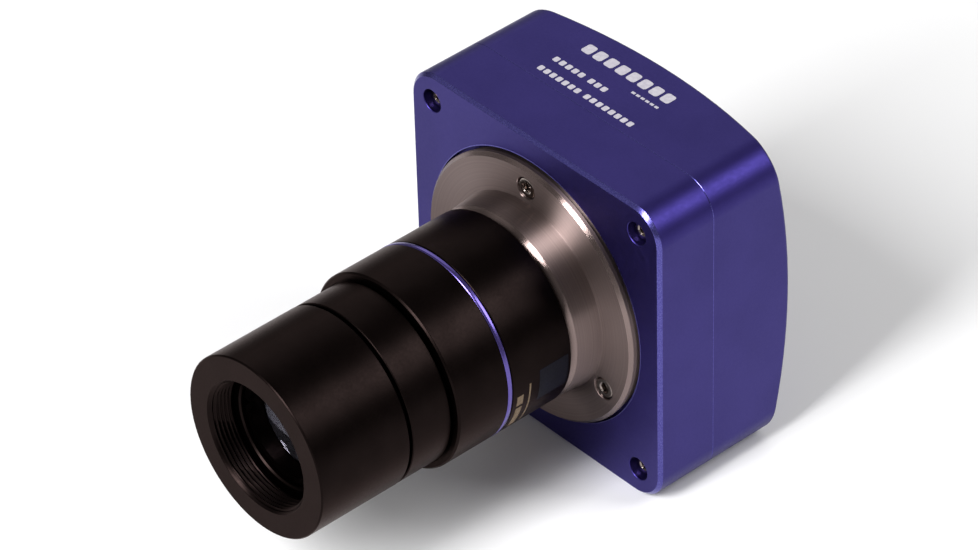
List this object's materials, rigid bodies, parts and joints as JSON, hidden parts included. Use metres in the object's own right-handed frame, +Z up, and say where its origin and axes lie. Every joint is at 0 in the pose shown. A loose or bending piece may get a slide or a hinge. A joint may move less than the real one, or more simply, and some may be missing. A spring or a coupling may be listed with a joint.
{
  "type": "guide camera",
  "caption": "Square telescope guide camera with a domed back, a C-mount flange and a screw-on reducing adapter ending in a 1.25 inch nosepiece.",
  "frame": {"origin": "on the plane of the housing's flat bottom face, under the middle of the length and of the width", "axes": "+Z up; +Y along the lens axis towards the back of the camera, so the nosepiece points along -Y; +X to the right looking along +Y"},
  "size_m": [0.058, 0.0904, 0.058],
  "materials": {
    "anodised_blue": "satin anodised",
    "turned_aluminium": "fine turned, bare",
    "black_anodised": "satin black anodised",
    "accent_violet": "satin anodised",
    "bright_steel": "bright",
    "glass": "coated, polished",
    "rubber": "matt",
    "circuit_board": "solder mask",
    "chip_package": "moulded",
    "tinned_steel": "tinned",
    "black_moulding": "moulded",
    "white_moulding": "moulded",
    "brass": "bright",
    "clear_plastic": "clear moulded"
  },
  "bodies": {
    "camera": {"front_housing": "anodised_blue", "rear_housing": "anodised_blue", "housing_screw_1": "bright_steel", "housing_screw_2": "bright_steel", "housing_screw_3": "bright_steel", "housing_screw_4": "bright_steel", "c_mount_flange": "turned_aluminium", "flange_screw_top": "bright_steel", "flange_screw_left": "bright_steel", "flange_screw_right": "bright_steel", "ir_cut_filter": "glass", "filter_ring": "black_anodised", "light_shroud": "rubber", "sensor_board": "circuit_board", "image_sensor": "chip_package", "sensor_glass": "glass", "memory_chip": "chip_package", "clock_crystal": "tinned_steel", "board_header": "black_moulding", "interface_board": "circuit_board", "controller_chip": "chip_package", "standoff_1": "brass", "standoff_2": "brass", "standoff_3": "brass", "standoff_4": "brass", "board_screw_1": "bright_steel", "board_screw_2": "bright_steel", "board_screw_3": "bright_steel", "board_screw_4": "bright_steel", "usb_shell": "tinned_steel", "usb_insert": "white_moulding", "guide_socket": "black_moulding", "guide_contacts": "brass", "status_lamp": "clear_plastic", "light_pipe": "clear_plastic"},
    "shim": {"focal_shim": "bright_steel"},
    "adapter": {"rear_barrel": "black_anodised", "accent_ring": "accent_violet", "front_barrel": "black_anodised", "lens_tube": "black_anodised", "front_lens": "glass", "lens_spacer": "black_anodised", "rear_lens": "glass", "lens_retainer": "black_anodised", "stop_collar": "black_anodised"},
    "nosepiece": {"nosepiece": "black_anodised"}
  },
  "joints": [
    {"name": "adapter_travel", "type": "slide", "parent": "camera", "child": "shim", "axis": [0, -1, 0], "range_m": [0, 0.00317]},
    {"name": "adapter_turn", "type": "hinge", "parent": "shim", "child": "adapter", "pos_m": [0, 0.0059, 0.029], "axis": [0, -1, 0], "range_deg": [0, 1440]},
    {"name": "nosepiece_slide", "type": "slide", "parent": "adapter", "child": "nosepiece", "axis": [0, -1, 0], "range_m": [0, 0.012]}
  ],
  "couplings": [
    {"joint": "adapter_turn", "follows": "adapter_travel", "rad_per_m": 7915.8}
  ]
}
